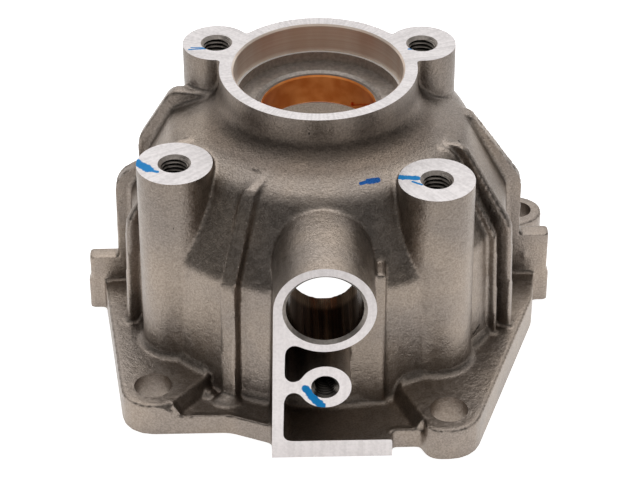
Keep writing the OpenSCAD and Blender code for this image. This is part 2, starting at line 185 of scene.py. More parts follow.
# %% Plug the holes
PLUGS = [((x, y, 80), (x, y, TOP_Z + STOCK), 6) for x, y in REAR_POSTS]
PLUGS += [((x, y, 60), (x, y, POST_Z + STOCK), 6) for x, y in FRONT_POSTS]
PLUGS += [((x, y, -STOCK), (x, y, FLANGE_T), FRONT_BOLT_R + 0.4) for x, y in FRONT_BOLTS]
PLUGS += [((x, y, -STOCK), (x, y, FLANGE_T), REAR_BOLT_R + 0.4) for x, y in REAR_BOLTS]
PLUGS += [
    ((0, PAD_Y - STOCK, PORT_Z), (0, -64, PORT_Z), PORT_R + 1.6),
    ((0, PAD_Y - STOCK, BOSS_Z), (0, -66, BOSS_Z), 5.5),
    ((0, 0, BUSH_LOW - 0.6), (0, 0, RELIEF_LOW + 0.5), BUSH_R + 1.2),
    ((0, 0, RELIEF_LOW), (0, 0, TOP_Z + STOCK), SEAL_R + 0.8)]
for foot, head, r in PLUGS:
    rod(cast, foot, head, r)
print("plugged mesh", len(cast.verts), "points")

# %% [markdown]
# ## Coves
#
# Where a wall of sand core or pattern meets a floor, the pattern maker leaves a cove, so that the
# metal flows and the corner doesn't crack. Small coves come from the smoothing. The larger ones, at
# the foot of the bell, the posts and the neck, are rings spun from a hollow arc. The neck's cove
# touches both its wall and the shoulder, which slopes down and outwards from it.

# %% Coves at the feet of the neck, the bell and the posts
COVE = 2.6
NECK_COVE = 9
NECK_FOOT = (33.5, 87.15)
SHOULDER_DEG = 64.7
HALF_TANGENT = 0.633
OVERLAP = 0.5


def hollow(r, z, size, first, last):
    """Rows of a hollow arc about a centre, from one angle to another in degrees."""
    angles = [math.radians(first + (last - first) * k / 8) for k in range(9)]
    return [(r + size * math.cos(a), z + size * math.sin(a)) for a in angles]


def cove(bm, x, y, z, r):
    """Fill the corner between a level floor and an upright round wall."""
    arc = hollow(r + COVE, z + COVE, COVE, 270, 180)
    round_ring(bm, x, y, [(r - 1, z - OVERLAP), (r + COVE, z - OVERLAP), *arc, (r - 1, z + COVE)])


centre_r, centre_z = NECK_FOOT[0] + NECK_COVE, NECK_FOOT[1] + HALF_TANGENT * NECK_COVE
neck_arc = hollow(centre_r, centre_z, NECK_COVE, 180 + SHOULDER_DEG, 180)
round_ring(cast, 0, 0, [(33, 86), *neck_arc, (33, centre_z)])
coves = bmesh.new()
cove(coves, 0, 0, FLANGE_T, BELL_R)
for x, y in FRONT_POSTS:
    cove(coves, x, y, FLANGE_T, FRONT_POST_FOOT_R)
web_coves = bmesh.new()
cove(web_coves, 0, 0, WEB_T, BELL_R)
for bm in (coves, web_coves):
    bmesh.ops.recalc_face_normals(bm, faces=bm.faces)
print("coves laid in")

# %% [markdown]
# ## Slopes at the ears
#
# The flange is thick at its two front ears and low in the web between them, and a slope joins the
# two levels. It is made as a corner filler, cut by a tool with the web's plan that is narrower at
# its foot than at its head. The left ear's front corner goes down to the web too, round its bolt
# hole: a block takes the corner away, less a cone that leaves metal round the hole.

# %% Slopes at the ears
WEB_PLAN = [(-50.2, -95), (-50.2, -68.9), (-37.2, -54), (24.1, -59.9), (32.9, -81.1), (32.9, -95)]
WEB_MIDDLE = (-8, -75.6)


def web_level(z, wide, deep):
    """The web's plan at a height, stretched about its middle."""
    mx, my = WEB_MIDDLE
    return [(mx + (x - mx) * wide, my + (y - my) * deep, z) for x, y in WEB_PLAN]


block(coves, (-50.7, -71.1, WEB_T - OVERLAP), (-38, -56, FLANGE_T))
block(coves, (24, -80, WEB_T - OVERLAP), (33.2, -62, FLANGE_T))
web = bmesh.new()
stack(web, [web_level(WEB_T, 0.93, 1), web_level(FLANGE_T, 1, 1), web_level(FLANGE_T + 9, 1.3, 1.3)])
print("slopes laid in")

# %% The left ear's front corner, cut round its bolt hole
corner_cut = bmesh.new()
block(corner_cut, (-57.2, -76, WEB_T), (-44, -67.5, FLANGE_T + 2))
ear_cone = bmesh.new()
rod(ear_cone, (*FRONT_BOLTS[0], WEB_T - OVERLAP), (*FRONT_BOLTS[0], FLANGE_T + 2.2), 13.8, 9.4)
print("tools for the ear's corner ready")

# %% [markdown]
# ## The end of the left front rib
#
# The left front rib runs out into the shoulder like a finger. Its square end is cut to a slope
# here, by a tool that holds the air over that slope, and its edges are rubbed round once the
# casting is made. The profile is given along the rib, as distance from the axis and height.

# %% The slope at the end of the left front rib
RIB_DEG = 242.8
RIB_WAY = Vector((math.cos(math.radians(RIB_DEG)), math.sin(math.radians(RIB_DEG)), 0))
RIB_SIDE = Vector((-RIB_WAY.y, RIB_WAY.x, 0))
RIB_AIR = [(43.5, 82.5), (47, 81.9), (51.5, 80.8), (54.5, 78.2), (57.6, 73), (62, 73), (62, 90), (43.5, 90)]
RIB_AIR_HALF = 4


def rib_outline(side):
    """The air over the rib's end, as an outline at a distance beside the rib's middle."""
    return [RIB_WAY * out + Vector((0, 0, z)) + RIB_SIDE * side for out, z in RIB_AIR]


rib_end = bmesh.new()
stack(rib_end, [rib_outline(-RIB_AIR_HALF), rib_outline(RIB_AIR_HALF)])
print("tool for the rib's end ready")

# %% [markdown]
# ## Lumps and a lip that the mould left
#
# Pins that push the casting out leave a round lump on each side lug. There are a blob and a toe at
# the left rib's foot, and a thin lip along the web's front edge, where the mould's halves met.
# They are spheres and thin rods that the remesh melts into the casting.

# %% Lumps, each given as centre and half sizes
LUMPS = [
    ((-75.5, 0.2, 13.3), (1.5, 0.7, 1.5)), ((73.1, 0.2, 20.3), (1.5, 0.7, 1.5)),
    ((-38.6, -59.6, 7.2), (2.1, 2.1, 1.9)), ((-32.4, -63, 7), (5, 3.2, 2.2))]
for centre, half in LUMPS:
    shape = Matrix.Translation(centre) @ Matrix.Diagonal((*half, 1))
    bmesh.ops.create_uvsphere(cast, u_segments=24, v_segments=16, radius=1, matrix=shape)
print("lumps", len(LUMPS))

# %% The lip along the front edge of the web
LIP = [[(-47, -70.9), (-31.7, -70.9), (-17.2, -77)], [(21.5, -79.8), (31, -79.8)]]
LIP_R = 0.75
LIP_Z = WEB_T - 0.1
for points in LIP:
    for (ax, ay), (bx, by) in zip(points, points[1:]):
        rod(cast, (ax, ay, LIP_Z), (bx, by, LIP_Z), LIP_R, segments=16)
print("lip laid")

# %% [markdown]
# ## Join and smooth
#
# The voxel remesh turns the solid, its stock, its plugs and the additions into one closed skin. The
# slopes are remeshed and cut by themselves first, because the core keeps them out of the bell's
# inside and the web's tool may cut nothing but them. Thinning comes last, so that the mesh stays
# light where it is flat. A boolean with the Manifold solver is quick and leaves closed meshes.

# %% Helpers for cutting and joining
CORE_R = 64


def cut(obj, tool, how="DIFFERENCE"):
    """Cut obj with a closed tool, and take the tool away."""
    step = obj.modifiers.new("cut", "BOOLEAN")
    step.operation = how
    step.solver = "MANIFOLD"
    step.object = tool
    bake_modifiers(obj)
    bpy.data.objects.remove(tool)
    return obj


def core_tool():
    """The core that keeps the slopes out of the space inside the bell."""
    bm = bmesh.new()
    rod(bm, (0, 0, 2), (0, 0, FLANGE_T + COVE + 4), CORE_R, segments=160)
    return make_object("core", bm)


def remesh(obj, size_mm):
    """Make the mesh again from voxels of one size."""
    step = obj.modifiers.new("voxels", "REMESH")
    step.mode = "VOXEL"
    step.voxel_size = size_mm * MM
    return bake_modifiers(obj)


print("cutting helpers ready")

# %% Join, smooth and thin
VOXEL = 0.62
rough = make_object("rough_casting", cast)
slopes = make_object("slopes", coves)
remesh(slopes, VOXEL)
cut(slopes, make_object("web_space", web))
cut(slopes, core_tool())
web_slopes = cut(make_object("web_slopes", web_coves), core_tool())
remesh(rough, VOXEL)
cut(rough, make_object("rib_end", rib_end))
cut(rough, cut(make_object("corner_cut", corner_cut), make_object("ear_cone", ear_cone)))
cut(rough, slopes, "UNION")
cut(rough, web_slopes, "UNION")
remesh(rough, VOXEL)
smooth = rough.modifiers.new("smooth", "SMOOTH")
smooth.factor = 0.5
smooth.iterations = 3
bake_modifiers(rough)
thin = rough.modifiers.new("thin", "DECIMATE")
thin.ratio = 0.22
bake_modifiers(rough)
print("rough casting", len(rough.data.polygons), "faces")

# %% [markdown]
# ## Broken flash
#
# The mould parts along the two side fins, so their outer edges carry flash that was broken off by
# hand. The points on those edges are pushed in by a coarse noise, never out, so the fins keep
# within the solid.

# %% Broken flash on the fins
FIN_Y = (0.35, 4.65)
FIN_Z = (30, 84)
FIN_EDGE_X, FIN_BEND_Z, FIN_LEAN = 69.2, 50, 0.62
FLASH_DEPTH = 0.55
FLASH_GRAIN = 0.55


def on_fin_edge(point, normal):
    """True on the outer edge of the side fins, in millimetres."""
    px, py, pz = point
    outside = abs(px) > FIN_EDGE_X - FIN_LEAN * max(0, pz - FIN_BEND_Z)
    return FIN_Y[0] < py < FIN_Y[1] and abs(normal.y) < 0.55 and FIN_Z[0] < pz < FIN_Z[1] and outside


flash = bmesh.new()
flash.from_mesh(rough.data)
flash.normal_update()
torn = 0
for v in flash.verts:
    if on_fin_edge(v.co / MM, v.normal):
        depth = noise.fractal(v.co / MM * FLASH_GRAIN, 1.0, 2.0, 3)
        v.co -= v.normal * MM * FLASH_DEPTH * max(0, depth + 0.25)
        torn += 1
flash.to_mesh(rough.data)
flash.free()
print("points on broken flash", torn)

# %% [markdown]
# ## The rib's finger end
#
# The end of the left front rib narrows to one side before it dies into the shoulder. Its points are
# pushed towards that side, more and more towards the end, and a few rounds of smoothing rub the
# edges away.

# %% Rub the end of the left front rib round
FINGER_OUT = (43, 60)
FINGER_LOW, FINGER_HALF = 67, 4.4
FINGER_SIDE, FINGER_SQUEEZE = 2.8, 0.62
FINGER_ROOT, FINGER_RUN, FINGER_EDGE = 54, 9, 1.6
rubbed = bmesh.new()
rubbed.from_mesh(rough.data)
finger = []
for v in rubbed.verts:
    beside, out = abs(v.co.dot(RIB_SIDE)), v.co.dot(RIB_WAY)
    along = FINGER_OUT[0] * MM < out < FINGER_OUT[1] * MM
    if along and beside < FINGER_HALF * MM and v.co.z > FINGER_LOW * MM:
        finger.append(v)
for v in finger:
    side, out = v.co.dot(RIB_SIDE) / MM, v.co.dot(RIB_WAY) / MM
    share = min(1, max(0, (FINGER_ROOT - out) / FINGER_RUN)) * min(1, (side + FINGER_HALF) / FINGER_EDGE)
    v.co += RIB_SIDE * MM * max(0, FINGER_SIDE - side) * FINGER_SQUEEZE * share
for _ in range(10):
    bmesh.ops.smooth_vert(rubbed, verts=finger, factor=0.5, use_axis_x=True, use_axis_y=True, use_axis_z=True)
rubbed.to_mesh(rough.data)
rubbed.free()
print("points rubbed", len(finger))

# %% [markdown]
# ## Milling
#
# The top ring, the post faces, the pad and the base are cut flat through the stock, so each gets a
# crisp edge against the soft casting. The front posts are milled with a cutter of their own size,
# as a spot face is, because the bell stands beside them.

# %% Flat cuts
FAR = 120


def mill(low, high):
    """Take away all that lies between two corners."""
    bm = bmesh.new()
    block(bm, low, high)
    cut(rough, make_object("mill", bm))


mill((-FAR, -FAR, TOP_Z), (FAR, FAR, FAR))
mill((-FAR, -FAR, -FAR), (FAR, FAR, 0))
mill((PAD_SIDES[0], -FAR, -FAR), (PAD_SIDES[1], PAD_Y, FAR))
for x, y in FRONT_POSTS:
    spot = bmesh.new()
    rod(spot, (x, y, POST_Z), (x, y, POST_Z + 9), FRONT_POST_R + 0.3)
    cut(rough, make_object("spot", spot))
print("milled", len(rough.data.polygons), "faces")

# %% [markdown]
# ## Boring
#
# A boring bar leaves round steps. Each is one rod or cone, cut from the casting one after another:
# the seal seat with its lead-in, the relief under it, the cone above the bush, the bush's own seat,
# the register in the base, the port with its chamfer, and the bolt holes.


# %% Bores
def bore(*steps):
    """Cut round steps, each given as foot, head, foot radius and head radius."""
    for foot, head, r_foot, r_head in steps:
        bm = bmesh.new()
        rod(bm, foot, head, r_foot, r_head, segments=128)
        cut(rough, make_object("bore", bm))


bore(
    ((0, 0, SEAL_LOW), (0, 0, TOP_Z + 1), SEAL_R, SEAL_R),
    ((0, 0, TOP_Z - 0.6), (0, 0, TOP_Z + 1), SEAL_R, SEAL_R + 1.6),
    ((0, 0, RELIEF_LOW), (0, 0, SEAL_LOW + 1), RELIEF_R, RELIEF_R),
    ((0, 0, BUSH_TOP), (0, 0, RELIEF_LOW + 0.2), BUSH_R, BUSH_R + 1.25),
    ((0, 0, BUSH_LOW - 3), (0, 0, BUSH_TOP + 0.1), BUSH_R, BUSH_R),
    ((0, 0, -1), (0, 0, REGISTER_T), REGISTER_R, REGISTER_R),
    ((0, PAD_Y - 1, PORT_Z), (0, -45, PORT_Z), PORT_R, PORT_R),
    ((0, PAD_Y - 1, PORT_Z), (0, PAD_Y + PORT_CHAMFER, PORT_Z), PORT_R + PORT_CHAMFER + 1, PORT_R))
bore(*(((x, y, -1), (x, y, FLANGE_T + 2), FRONT_BOLT_R, FRONT_BOLT_R) for x, y in FRONT_BOLTS))
bore(*(((x, y, -1), (x, y, FLANGE_T + 2), REAR_BOLT_R, REAR_BOLT_R) for x, y in REAR_BOLTS))
print("bored", len(rough.data.polygons), "faces")

# %% [markdown]
# ## Tapped holes
#
# A tapped hole is cut by a tap and a countersink. The tap is a rod whose wall winds in and out as it
# climbs, once a turn: the height at which the wall stands out goes up with the angle, and that is a
# thread. One rod with many rings is enough, and no profile has to be swept.


# %% The tap and the countersink
def tap(bm, r_small, r_big, pitch, depth, segments=40, rings_a_pitch=5):
    """Add a tap that points down from the origin, with its axis on Z."""
    rings = int(depth / pitch * rings_a_pitch)
    verts = rod(bm, (0, 0, -depth), (0, 0, 0.5), r_small, segments=segments)
    sides = {e for v in verts for e in v.link_edges if abs(e.verts[0].co.z - e.verts[1].co.z) > 0.1}
    bmesh.ops.subdivide_edges(bm, edges=list(sides), cuts=rings, use_grid_fill=True)
    for v in bm.verts:
        if -depth + 0.01 < v.co.z < 0.4:
            turn = math.atan2(v.co.y, v.co.x) / (2 * math.pi)
            phase = (v.co.z / pitch - turn) % 1
            wave = 1 - abs(2 * phase - 1)
            r = r_small + (r_big - r_small) * min(1, max(0, 1.3 * wave - 0.15))
            k = r / math.hypot(v.co.x, v.co.y)
            v.co.x *= k
            v.co.y *= k


def tapped_hole(place, r_small, r_big, pitch, depth, r_mouth):
    """Cut one tapped hole at a place: first with the tap, then its mouth with the countersink."""
    thread, mouth = bmesh.new(), bmesh.new()
    tap(thread, r_small, r_big, pitch, depth)
    rod(mouth, (0, 0, r_small - r_mouth), (0, 0, 1), r_small, r_mouth + 1)
    for bm in (thread, mouth):
        bmesh.ops.transform(bm, matrix=place, verts=bm.verts)
        cut(rough, make_object("tap", bm))


print("tap ready")

# %% Threads in the posts and the pad
TAP_R, PAD_TAP_R = 4.2, 3.4
POST_THREAD = (TAP_R, 5, 1.5, 13)
PAD_THREAD = (PAD_TAP_R, 4, 1.25, 13)
seats = [(Matrix.Translation((x, y, TOP_Z)), *POST_THREAD, 5.4) for x, y in REAR_POSTS]
seats += [(Matrix.Translation((x, y, POST_Z)), *POST_THREAD, 5.5) for x, y in FRONT_POSTS]
into_pad = Matrix.Translation((0, PAD_Y, BOSS_Z)) @ Matrix.Rotation(math.pi / 2, 4, "X")
seats.append((into_pad, *PAD_THREAD, 4.6))
for seat in seats:
    tapped_hole(*seat)
print("threaded", len(rough.data.polygons), "faces")

# %% [markdown]
# Many cuts leave slivers, thin triangles with almost no area, which shade badly. Points that lie
# within a fiftieth of a millimetre of each other are welded, and what has collapsed is dissolved.
# Where a sliver has folded flat, two faces share the same three corners, and both are taken away.

# %% Weld the slivers that the cuts left
weld = bmesh.new()
weld.from_mesh(rough.data)
before = len(weld.verts)
bmesh.ops.remove_doubles(weld, verts=weld.verts, dist=0.02 * MM)
bmesh.ops.dissolve_degenerate(weld, edges=weld.edges, dist=0.01 * MM)
bmesh.ops.triangulate(weld, faces=weld.faces)
by_corners = {}
for face in weld.faces:
    by_corners.setdefault(frozenset(face.verts), []).append(face)
folded = [face for twins in by_corners.values() if len(twins) > 1 for face in twins]
bmesh.ops.delete(weld, geom=folded, context="FACES")
open_edges = sum(not e.is_manifold for e in weld.edges)
weld.to_mesh(rough.data)
weld.free()
print("points welded", before - len(rough.data.vertices), "folded faces", len(folded))
print("edges not closed", open_edges)

# %% [markdown]
# ## Tools for finishes
#
# A wrapped socket lets a mask be written as a sum. Each operator adds one Math node, and `add`
# makes any other node. Places are read from Object coordinates, so a pattern stays on the metal
# wherever the part goes.


# %% Finish helpers
class Wire:
    """An output socket that can be added, multiplied and compared."""

    def __init__(self, finish, socket):
        self.finish = finish
        self.socket = socket

    def sums(self, operation, first, second):
        return self.finish.add("ShaderNodeMath", {"operation": operation}, [first, second])

    def __add__(self, other):
        return self.sums("ADD", self, other)

    def __radd__(self, other):
        return self.sums("ADD", other, self)

    def __sub__(self, other):
        return self.sums("SUBTRACT", self, other)

    def __rsub__(self, other):
        return self.sums("SUBTRACT", other, self)

    def __mul__(self, other):
        return self.sums("MULTIPLY", self, other)

    def __rmul__(self, other):
        return self.sums("MULTIPLY", other, self)

    def at_most(self, other):
        return self.sums("MINIMUM", self, other)

    def at_least(self, other):
        return self.sums("MAXIMUM", self, other)


class Nodes:
    """A node tree, with short ways to add nodes and their links."""

    def __init__(self, tree):
        self.tree = tree

    def add(self, kind, settings, values, out=0):
        """Add a node: settings first, then values or links for its sockets."""
        node = self.tree.nodes.new(kind)
        for key, value in settings.items():
            setattr(node, key, value)
        pairs = values.items() if isinstance(values, dict) else enumerate(values)
        for key, value in pairs:
            if isinstance(value, Wire):
                self.tree.links.new(value.socket, node.inputs[key])
            else:
                node.inputs[key].default_value = value
        return Wire(self, node.outputs[out])

    def between(self, value, low, high, to_low=0, to_high=1):
        """Ease from one value to another while the input goes from low to high."""
        values = {0: value, 1: low, 2: high, 3: to_low, 4: to_high}
        return self.add("ShaderNodeMapRange", {"interpolation_type": "SMOOTHSTEP"}, values)

    def vector(self, operation, first, second, out=0):
        return self.add("ShaderNodeVectorMath", {"operation": operation}, {0: first, 1: second}, out=out)


class Finish(Nodes):
    """One material, its Principled shader and the nodes that feed it."""

    def __init__(self, name, **uniform):
        self.material = bpy.data.materials.new(name)
        self.material.use_nodes = True
        super().__init__(self.material.node_tree)
        self.shader = self.tree.nodes["Principled BSDF"]
        for key, value in uniform.items():
            self.shader.inputs[key.replace("_", " ")].default_value = value
        self.place = self.add("ShaderNodeTexCoord", {}, {}, out="Object")

    def feed(self, socket, wire):
        self.tree.links.new(wire.socket, self.shader.inputs[socket])

    def noise(self, scale, detail=2, roughness=0.5, place=None):
        values = {"Vector": place or self.place, "Scale": scale, "Detail": detail, "Roughness": roughness}
        return self.add("ShaderNodeTexNoise", {}, values, out="Fac")

    def mix(self, factor, first, second, blend="MIX"):
        """Mix two colours. Each is three numbers or the output of another node."""
        values = {"Factor": factor}
        values[6] = first if isinstance(first, Wire) else (*first, 1)
        values[7] = second if isinstance(second, Wire) else (*second, 1)
        return self.add("ShaderNodeMix", {"data_type": "RGBA", "blend_type": blend}, values, out=2)

    def axis(self, name):
        """Place along one axis, in metres."""
        return self.add("ShaderNodeSeparateXYZ", {}, {0: self.place}, out=name)

    def distance(self, shape=(1, 1, 1)):
        """Distance from the origin in metres. A zero in the shape leaves that axis out."""
        flat = self.vector("MULTIPLY", self.place, shape)
        return self.vector("DISTANCE", flat, (0, 0, 0), out="Value")

    def stroke(self, start, end):
        """Distance from a short straight pen stroke, given in millimetres."""
        a, b = Vector(start) * MM, Vector(end) * MM
        span = b - a
        along = self.vector("SUBTRACT", self.place, a)
        share = self.vector("DOT_PRODUCT", along, span / span.length_squared, out="Value")
        share = share.at_least(0).at_most(1)
        reach = self.add("ShaderNodeVectorMath", {"operation": "SCALE"}, {0: span, "Scale": share})
        return self.vector("DISTANCE", along, reach, out="Value")

    def pen(self, strokes, ragged):
        """Mask of pen strokes, each given as start, end and half width in millimetres."""
        marks = []
        for start, end, half in strokes:
            edge = self.stroke(start, end) + ragged * (half * MM * 0.7)
            marks.append(self.between(edge, half * MM, half * MM * 0.75))
        mask = marks[0]
        for mark in marks[1:]:
            mask = mask.at_least(mark)
        return mask

    def streaks(self, scale, detail=2):
        """Noise that runs in straight lines away from the Z axis, or up a bore round it."""
        flat = self.vector("MULTIPLY", self.place, (1, 1, 0))
        return self.noise(scale, detail, 0.5, self.vector("NORMALIZE", flat, (0, 0, 0)))

    def bump(self, height, strength, distance, below=None):
        values = {"Height": height, "Strength": strength, "Distance": distance}
        if below is not None:
            values["Normal"] = below
        return self.add("ShaderNodeBump", {}, values)


print("finish helpers ready")

# %% [markdown]
# ## Cast skin
#
# Sand leaves a fine grain on aluminium, a warm grey that is patchy from the mould wash. The grain
# is two noises, one for the sand and one for the clumps it makes, and a third one lays the slow
# patches over it. Painted shade darkens what the attribute `open` calls closed in, and more round
# the neck's foot. Noise fits here because no two castings are alike.

# %% Cast aluminium: grain and patches
cast_skin = Finish("cast_aluminium", Metallic=0.92)
sand = cast_skin.noise(1600, 2, 0.6)
clumps = cast_skin.noise(420, 3, 0.6)
patches = cast_skin.noise(38, 3, 0.55)
tone = cast_skin.between(sand * 0.7 + clumps * 0.3, 0.34, 0.66)
grain_tone = cast_skin.mix(tone, (0.27, 0.227, 0.192), (0.4, 0.343, 0.297))
wash = cast_skin.mix(cast_skin.between(patches, 0.35, 0.7), (0.86, 0.86, 0.87), (1.05, 1.02, 0.98))
before_shade = cast_skin.mix(1.0, grain_tone, wash, "MULTIPLY")
print("cast grain ready")

# %% Cast aluminium: painted shade in the corners
is_open = cast_skin.add("ShaderNodeAttribute", {"attribute_name": "open"}, {}, out="Fac")
in_front = cast_skin.between(cast_skin.axis("Y"), 0.005, -0.025)
near_neck = cast_skin.between(cast_skin.distance((1, 1, 0)) - 0.0065 * in_front, 0.039, 0.0335)
# Painted shade: darker where the rays find the surface closed in, and darker still round the neck's foot.
neck_foot_shade = near_neck * cast_skin.between(cast_skin.axis("Z"), 0.104, 0.088)
lit_share = cast_skin.between(is_open, 0.3, 0.82) * (1 - 0.75 * neck_foot_shade)
painted_shade_color = cast_skin.mix(1.0, before_shade, cast_skin.mix(lit_share, (0.5, 0.46, 0.43), (1, 1, 1)), "MULTIPLY")
print("corner_shade ready")

# %% [markdown]
# An inspector's pen has left a short blue mark on the shoulder, and handling has left dark nicks.
# Both are straight strokes with a ragged edge, each placed where the photograph shows one. A stroke
# is a distance from a line in space, so it needs no picture and no unwrapping.

# %% Cast aluminium: pen mark, nicks and bump
SHOULDER_MARK = [((15.3, -43, 81.4), (18.1, -42.1, 81.3), 1.2), ((12.7, -44, 81.3), (15.6, -42.9, 81.4), 0.7)]
NICKS = [
    ((54, -38.5, 18.4), (53.3, -39.4, 18), 0.55), ((53.1, -39.6, 17.8), (51.9, -41.3, 16.8), 0.4),
    ((-3.8, -33.2, 94.1), (-3.8, -33.2, 93.7), 0.35), ((-48.6, -45.4, 66.0), (-48.6, -45.4, 65.6), 0.4),
    ((-46.5, -45.4, 62.5), (-46.3, -45.4, 62.2), 0.3), ((46.7, -16.5, 79.5), (47.5, -17.2, 79.1), 0.45),
    ((48.0, -17.3, 78.4), (49.1, -16.7, 76.8), 0.5)]
ragged = clumps - 0.5
marked = cast_skin.mix(cast_skin.pen(SHOULDER_MARK, ragged), painted_shade_color, (0.01, 0.07, 0.24))
nicked = cast_skin.mix(cast_skin.pen(NICKS, ragged) * 0.85, marked, (0.03, 0.025, 0.02))
cast_skin.feed("Base Color", nicked)
cast_skin.feed("Roughness", cast_skin.between(clumps, 0.3, 0.7, 0.34, 0.44))
grain = cast_skin.bump(clumps, 0.3, 0.0006, cast_skin.bump(sand, 0.35, 0.0003))
cast_skin.feed("Normal", grain)
print("cast skin ready, nicks", len(NICKS))

# %% [markdown]
# ## Milled faces
#
# A face mill leaves a near white face with fine lines. The lines run away from the shaft's axis and
# a fine noise breaks them up. The pad faces the viewer and is given a paler pair of tones than the
# level faces, as painted light. The inspector's blue pen crosses the faces in short strokes.

# %% Milled aluminium
BLUE = (0.0, 0.16, 0.4)
PEN = [
    ((-43.6, 13.0, 99), (-38.2, 13.4, 99), 0.45), ((-43.0, 14.2, 99), (-39.2, 14.1, 99), 0.35),
    ((-60.6, -31.6, 83), (-56.2, -36.2, 83), 1.9), ((-55.4, -37.0, 83), (-53.4, -37.8, 83), 0.7),
    ((24.4, -43.2, 83), (31.0, -44.0, 83), 1.4), ((29.4, -46.0, 83), (32.2, -47.8, 83), 0.5),
    ((-6.4, PAD_Y, 29.2), (-4.2, PAD_Y, 25.6), 1.5), ((-4.2, PAD_Y, 25.6), (-1.2, PAD_Y, 21.8), 1.6),
    ((31.0, 11.1, 99), (33.0, 11.0, 99), 0.5)]
milled = Finish("milled_aluminium", Metallic=0.8)
fine = milled.noise(900, 2)
lines = milled.streaks(48)
blotch = milled.noise(160, 2)
bright = milled.between(fine * 0.35 + lines * 0.45 + blotch * 0.2, 0.36, 0.62)
level_tone = milled.mix(bright, (0.52, 0.49, 0.485), (0.67, 0.635, 0.63))
# Painted light: the pad, which faces the viewer, gets paler tones than the level faces.
pad_painted_light_tone = milled.mix(bright, (0.68, 0.635, 0.625), (0.83, 0.78, 0.77))
pad_painted_light_mask = milled.between(milled.axis("Y"), -0.0835, -0.0843)
face_tone = milled.mix(pad_painted_light_mask, level_tone, pad_painted_light_tone)
milled.feed("Base Color", milled.mix(milled.pen(PEN, fine - 0.5), face_tone, BLUE))
milled.feed("Roughness", milled.between(lines, 0.3, 0.7, 0.34, 0.46))
milled.feed("Normal", milled.bump(lines * 0.5 + fine * 0.5, 0.12, 0.0001))
print("milled faces ready, pen strokes", len(PEN))

# %% [markdown]
# ## Bores
#
# The seal seat is bored smooth. Its wall looks browner than the milled faces, with faint upright
# bands, so its noise mostly follows the direction from the axis, with a few rings in height.

# %% Bored aluminium, browner and smoother than the milled faces
bored = Finish("bored_aluminium", Metallic=0.6)
rings = bored.add("ShaderNodeTexNoise", {"noise_dimensions": "1D"}, {"W": bored.axis("Z"), "Scale": 900})
bands = bored.between(bored.streaks(2.2) * 0.75 + rings * 0.25, 0.35, 0.65)
bored.feed("Base Color", bored.mix(bands, (0.8, 0.64, 0.52), (0.98, 0.88, 0.78)))
bored.feed("Roughness", bored.between(bored.noise(300, 2), 0.3, 0.7, 0.3, 0.4))
print("bored faces ready")

# %% [markdown]
# Coarser turning leaves the relief, the mouths of the holes and the port's chamfer a plain grey. The
# ledge that the seal sits on shows as a thin pale line, a painted highlight. It is given less metal in
# its mix, because a mirror would catch the dark wall across the bore instead.

# %% The turned relief, fine and grey
turned = Finish("turned_aluminium", Metallic=0.85)
swirl = turned.between(turned.noise(900, 2), 0.3, 0.7)
turned.feed("Base Color", turned.mix(swirl, (0.38, 0.335, 0.3), (0.52, 0.465, 0.42)))
turned.feed("Roughness", turned.between(turned.streaks(9), 0.3, 0.7, 0.36, 0.5))
print("turned relief ready")

# %% The ledge that the seal sits on, with a painted highlight
# Painted highlight: the ledge is made pale so that it shows as a bright line.
ledge_highlight = Finish("ledge_painted_highlight", Metallic=0.15, Roughness=0.35)
ledge_highlight.feed("Base Color", ledge_highlight.mix(ledge_highlight.noise(700, 2), (0.9, 0.88, 0.84), (0.99, 0.97, 0.94)))
print("burnished ledge ready")

# %% [markdown]
# The port's bore is painted darkest, as shade: a smooth brown wall with painted reflections in soft
# streaks along it, and a band of painted light where it breaks into the bell. The streaks follow
# the direction from the port's own axis.

# %% The port's bore
port_skin = Finish("port_bore_aluminium", Metallic=0.9)
from_port = port_skin.vector("SUBTRACT", port_skin.place, (0, 0, PORT_Z * MM))
round_port = port_skin.vector("NORMALIZE", port_skin.vector("MULTIPLY", from_port, (1, 0, 1)), (0, 0, 0))
port_lines = port_skin.noise(7, 3, 0.6, round_port)
# Painted shade and painted reflections: a dark wall with paler streaks.
port_reflection_streaks = port_skin.between(port_lines, 0.35, 0.7)
port_shade_tone = port_skin.mix(port_reflection_streaks, (0.025, 0.014, 0.008), (0.12, 0.08, 0.055))
# Painted light: a paler band at the inner end of the bore.
inner_end_light = port_skin.between(port_skin.axis("Y"), -0.0685, -0.0655)
port_skin.feed("Base Color", port_skin.mix(inner_end_light * 0.8, port_shade_tone, (0.34, 0.27, 0.2)))
port_skin.feed("Roughness", port_skin.between(port_lines, 0.3, 0.7, 0.18, 0.3))
print("port bore ready")

# %% [markdown]
# In a tapped hole the crests of the first turns catch the light and the roots stay black, and both are
# painted in: on the threads the attribute `open` holds how far a point stands on a crest, so it can mix
# a painted highlight and painted shade directly. The pad's hole faces the viewer and is painted nearly
# black inside, as shade.

# %% Threads
threads = Finish("thread_aluminium", Metallic=0.9)
on_crest = threads.add("ShaderNodeAttribute", {"attribute_name": "open"}, {}, out="Fac")
thread_tone = threads.mix(on_crest, (0.01, 0.008, 0.006), (0.6, 0.53, 0.47))
# Painted shade: the pad's hole is nearly black inside.
pad_hole_shade = threads.between(threads.axis("Y"), -0.069, -0.071)
threads.feed("Base Color", threads.mix(pad_hole_shade * 0.75, thread_tone, (0.012, 0.01, 0.008)))
threads.feed("Roughness", threads.between(threads.noise(500, 2), 0.3, 0.7, 0.25, 0.4))
print("threads ready")

# %% [markdown]
# ## Which face gets which finish
#
# The tools left flat and round faces at known places, so each face is sorted by where it lies and
# not by hand. Edges sharper than a limit are shaded sharp, and the cast skin between them smooth.

